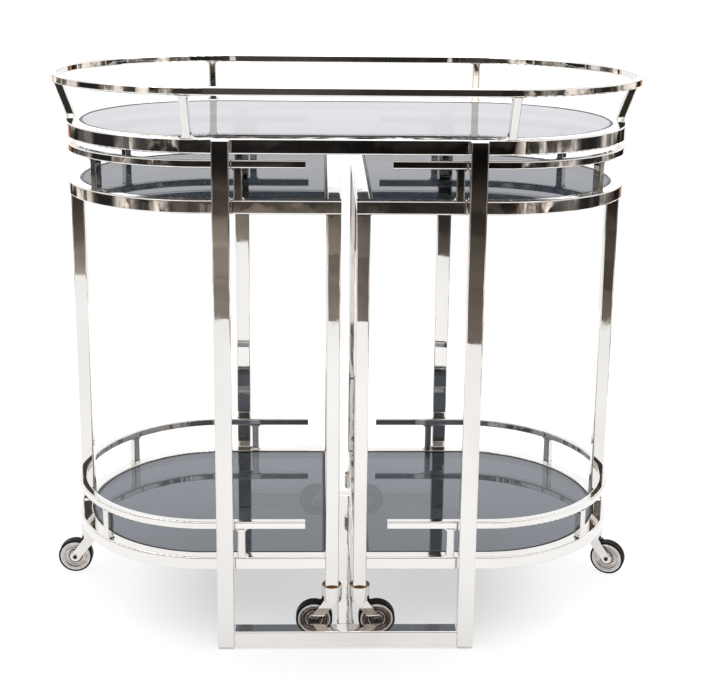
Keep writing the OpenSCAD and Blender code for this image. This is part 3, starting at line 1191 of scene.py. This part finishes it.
@dataclass
class Room:
    """What the chrome mirrors: white above, a dim brown-grey room low down, a white sweep behind."""

    graph: Graph
    lowest: float = -0.36
    highest: float = 0.20
    facing_wall: Stops = (
        (-0.30, (0.30, 0.270, 0.240)), (-0.274, (0.31, 0.280, 0.250)), (-0.258, (0.24, 0.212, 0.185)),
        (-0.242, (0.295, 0.262, 0.232)), (-0.228, (0.24, 0.212, 0.187)), (-0.214, (0.175, 0.152, 0.132)),
        (-0.20, (0.115, 0.098, 0.083)), (-0.186, (0.070, 0.058, 0.050)), (-0.172, (0.028, 0.025, 0.022)),
        (-0.157, (0.020, 0.018, 0.017)), (-0.142, (0.050, 0.047, 0.044)), (-0.11, (0.062, 0.057, 0.052)),
        (-0.03, (0.070, 0.065, 0.060)), (0.16, (0.085, 0.078, 0.070)))
    side_walls: Stops = (
        (-0.34, (0.19, 0.172, 0.150)), (-0.27, (0.215, 0.195, 0.170)), (-0.235, (0.165, 0.148, 0.130)),
        (-0.205, (0.105, 0.096, 0.088)), (-0.185, (0.060, 0.055, 0.050)), (-0.16, (0.060, 0.056, 0.052)),
        (-0.11, (0.075, 0.070, 0.065)), (-0.03, (0.080, 0.075, 0.070)), (0.16, (0.095, 0.088, 0.080)))
    furniture: Stops = (
        (0.36, (0.13, 0.13, 0.13)), (0.45, (0.55, 0.53, 0.51)), (0.50, (1.6, 1.5, 1.4)),
        (0.53, (6.5, 6.2, 6.0)), (0.58, (15.0, 14.6, 14.2)))
    mottling: Stops = (
        (0.32, (0.58, 0.58, 0.58)), (0.50, (1.0, 0.99, 0.98)), (0.66, (1.45, 1.42, 1.38)))
    flattening: tuple[float, float, float] = (1.0, 1.0, 6.5)
    side_grey: Colour = (0.36, 0.34, 0.32)
    doorway: Colour = (0.010, 0.009, 0.009)
    warm_wood: Colour = (0.46, 0.20, 0.10)
    white_sweep: Colour = (0.98, 0.98, 0.99)
    soft_white: Colour = (0.98, 0.98, 0.98)
    cool_white: Colour = (1.30, 1.30, 1.34)

    def __post_init__(self) -> None:
        """Splits the direction into its parts and lays the two patterns of clutter."""
        graph = self.graph
        way = graph.add("ShaderNodeTexCoord").outputs["Generated"]
        self.east, self.north, self.rise = graph.parts(way)
        self.turn = graph.math("ABSOLUTE", graph.math("ARCTAN2", self.east, self.north))
        flat = graph.stretched(way, self.flattening)
        self.wash = graph.noise(flat, scale=4.6, detail=5.0, roughness=0.62)
        blocks = graph.add("ShaderNodeTexVoronoi", distance="CHEBYCHEV")
        graph.feed(blocks, Vector=flat, Scale=5.2, Randomness=1.0)
        split = graph.add("ShaderNodeSeparateColor")
        graph.wire(blocks.outputs["Color"], split.inputs[0])
        self.blocks = split.outputs

    def column(self, stops: Stops) -> Socket:
        """Tone by how far a direction rises.

        Args:
            stops: rise and colour of each stop, in order.

        Returns:
            The colour socket.
        """
        reach = self.highest - self.lowest
        place = self.graph.span(self.rise, self.lowest, self.highest)
        return self.graph.ramp(place, [((z - self.lowest) / reach, colour) for z, colour in stops])

    def clutter(self, washed: float, blocky: float, which: int) -> Socket:
        """A weighted sum of the soft and the blocky pattern.

        Args:
            washed: weight of the soft one.
            blocky: weight of the blocky one.
            which: which of the blocky pattern's three values.

        Returns:
            The value socket.
        """
        graph = self.graph
        return graph.math("ADD", graph.math("MULTIPLY", self.wash, washed),
                          graph.math("MULTIPLY", self.blocks[which], blocky))

    def walls(self) -> Socket:
        """The calm wall that the front looks at, darker towards the east, and the cluttered rest.

        Returns:
            The colour socket.
        """
        graph = self.graph
        patchy = graph.tinted(self.column(self.side_walls),
                              graph.ramp(self.clutter(0.74, 0.24, 0), self.furniture))
        calm = graph.tinted(self.column(self.facing_wall),
                            graph.ramp(self.clutter(0.55, 0.45, 1), self.mottling))
        darker = graph.blend(graph.span(self.east, -0.01, 0.05), (1.0, 1.0, 1.0), (0.40, 0.39, 0.38))
        return graph.blend(graph.span(self.north, -0.90, -0.84, 1.0, 0.0), patchy,
                           graph.tinted(calm, darker))

    def accents(self, shade: Socket) -> Socket:
        """Lays the grey flanks, the dark doorway, the warm wood and the white sweep over the walls.

        Args:
            shade: colour of the walls.

        Returns:
            The colour socket.
        """
        graph, turn = self.graph, self.turn
        below = graph.span(self.rise, 0.04, 0.10, 1.0, 0.0)
        patches = graph.math("MULTIPLY", below, graph.span(self.blocks[2], 0.42, 0.47))
        flank = graph.math("MULTIPLY", graph.band(turn, (0.9, 1.2), (1.9, 2.3)), 0.35)
        door = graph.math("MULTIPLY", graph.band(turn, (1.30, 1.38), (1.74, 1.84)), 0.92)
        warm = graph.math("MULTIPLY", graph.band(turn, (0.58, 0.60), (0.67, 0.69)), patches)
        sweep = graph.math("MULTIPLY", graph.span(turn, 0.55, 0.58, 1.0, 0.0), below)
        for factor, colour in ((flank, self.side_grey), (door, self.doorway), (warm, self.warm_wood),
                               (sweep, self.white_sweep)):
            shade = graph.blend(factor, shade, colour)
        return shade

    def ceiling(self) -> tuple[Socket, Socket]:
        """The white above, a little brighter and cooler low down behind the cart.

        Returns:
            Where it is open, as a factor, and its colour.
        """
        graph = self.graph
        near = graph.math("MAXIMUM", graph.math("MULTIPLY", self.north, -1.0), 0.0)
        lift = graph.math("SUBTRACT", self.rise, graph.math("MULTIPLY", near, 0.72))
        behind = graph.math("MULTIPLY", graph.span(self.north, -0.2, 0.7),
                            graph.span(self.rise, 0.20, 0.46, 1.0, 0.0))
        return graph.span(lift, 0.045, 0.10), graph.blend(behind, self.soft_white, self.cool_white)

    def paint(self) -> Socket:
        """The whole room.

        Returns:
            The colour socket.
        """
        is_open, white = self.ceiling()
        return self.graph.blend(is_open, self.accents(self.walls()), white)


@dataclass
class Studio:
    """White paper floor, soft overhead light and the room round it."""

    palette: Palette
    floor_radius: float = 1.86
    floor_middle: tuple[float, float] = (-0.52, -0.16)
    floor_rings: int = 24
    floor_steps: int = 128
    sky: float = 1.06
    backdrop: float = 1.05
    overhead_power: float = 30.0
    overhead_size: tuple[float, float] = (2.6, 1.8)
    overhead_place: tuple[float, float, float] = (0.0, 0.1, 2.6)

    def build(self) -> None:
        """Makes the floor, the lights and the surroundings."""
        self.floor()
        self.overhead()
        self.surroundings()
        scene = bpy.context.scene
        scene.view_settings.view_transform = "Standard"
        scene.view_settings.look = "None"

    def floor(self) -> None:
        """The sheet of studio paper that the cart stands on."""
        mesh = bmesh.new()
        steps = self.floor_steps
        cx, cy = self.floor_middle
        rows = [[mesh.verts.new((cx, cy, 0.0))]]
        for ring in range(1, self.floor_rings + 1):
            reach = self.floor_radius * ring / self.floor_rings
            rows.append([mesh.verts.new((cx + reach * math.cos(2 * math.pi * k / steps),
                                         cy + reach * math.sin(2 * math.pi * k / steps), 0.0))
                         for k in range(steps)])
        for one, two in zip(rows, rows[1:]):
            for k in range(steps):
                m = (k + 1) % steps
                if len(one) == 1:
                    mesh.faces.new((one[0], two[k], two[m]))
                else:
                    mesh.faces.new((one[k], two[k], two[m], one[m]))
        put("studio_floor", mesh, self.palette.paper)

    def overhead(self) -> None:
        """One broad soft light high above."""
        light = bpy.data.lights.new("overhead_softbox", "AREA")
        light.shape = "RECTANGLE"
        light.size, light.size_y = self.overhead_size
        light.energy = self.overhead_power
        thing = bpy.data.objects.new("overhead_softbox", light)
        thing.location = self.overhead_place
        bpy.context.scene.collection.objects.link(thing)

    def surroundings(self) -> None:
        """The room for light and mirrors, and plain white where one looks past or through the cart."""
        world = bpy.data.worlds.new("studio_room")
        bpy.context.scene.world = world
        world.use_nodes = True
        graph = Graph(world.node_tree)
        room, white = graph.add("ShaderNodeBackground"), graph.add("ShaderNodeBackground")
        graph.feed(room, Color=Room(graph).paint(), Strength=self.sky)
        graph.feed(white, Color=(1.0, 1.0, 1.0), Strength=self.backdrop)
        path = graph.add("ShaderNodeLightPath")
        direct = graph.math("MAXIMUM", path.outputs["Is Camera Ray"], path.outputs["Is Transmission Ray"])
        mix = graph.add("ShaderNodeMixShader")
        for target, source in zip(mix.inputs, (direct, room.outputs[0], white.outputs[0])):
            graph.wire(source, target)
        output = graph.add("ShaderNodeOutputWorld")
        graph.wire(mix.outputs[0], output.inputs["Surface"])


@dataclass
class Viewpoint:
    """The camera: where it stands, how it looks and the small shift that the framing needs."""

    place: tuple[float, float, float] = (-0.0402, -2.0625, 1.0459)
    yaw: float = 0.0251
    pitch: float = 0.2323
    roll: float = -0.0100
    lens: float = 67.31898
    sensor: float = 36.0
    shift_y: float = -0.1395

    def build(self) -> None:
        """Makes the camera and looks through it."""
        right = Vector((math.cos(self.yaw), -math.sin(self.yaw), 0.0))
        ahead = Vector((math.sin(self.yaw), math.cos(self.yaw), 0.0))
        forward = ahead * math.cos(self.pitch) - UP * math.sin(self.pitch)
        up = ahead * math.sin(self.pitch) + UP * math.cos(self.pitch)
        rolled_right = right * math.cos(self.roll) - up * math.sin(self.roll)
        rolled_up = right * math.sin(self.roll) + up * math.cos(self.roll)
        camera = bpy.data.cameras.new("studio_camera")
        camera.sensor_width = self.sensor
        camera.lens = self.lens
        camera.shift_y = self.shift_y
        camera.clip_start, camera.clip_end = 0.05, 60.0
        thing = bpy.data.objects.new("studio_camera", camera)
        turn = Matrix((rolled_right, rolled_up, -forward)).transposed().to_4x4()
        thing.matrix_world = Matrix.Translation(Vector(self.place)) @ turn
        bpy.context.scene.collection.objects.link(thing)
        bpy.context.scene.camera = thing


def dress_frame_nodes(nodes: dict[str, bpy.types.Object], palette: Palette) -> None:
    """Gives every CAD node its finish: bent tubes ripple more and wear a lighter copy of the chrome, painted
    light; the rest follow their record slots.

    Args:
        nodes: CAD objects by name.
        palette: the finishes.
    """
    for name, thing in nodes.items():
        bent = name.endswith(("_ring", "_rail", "_gallery")) and "base" not in name
        for holder in thing.material_slots:
            slot = Slot(holder.material.name.split(".")[0])
            holder.material = palette.bent if bent else palette.for_slot(slot)
        LOG.info("dressed %s", name)


def main() -> None:
    """Loads the frame, dresses it, adds the fitted pieces and sets up the studio."""
    logging.basicConfig(level=logging.INFO, format="%(name)s %(message)s")
    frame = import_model()
    nodes = frame["nodes"]
    palette = Palette()
    plan = Plan.read()
    Viewpoint().build()
    dress_frame_nodes(nodes, palette)
    assemblies = [TrayFrame(plan, palette)]
    assemblies += [Cart(plan, palette, side) for side in Side]
    assemblies += [Caster(palette, nodes, side, corner) for side in Side for corner in Corner]
    for assembly in assemblies:
        for piece in assembly.dress():
            LOG.info("built %s", piece.name)
    Studio(palette).build()


if __name__ == "__main__":
    main()
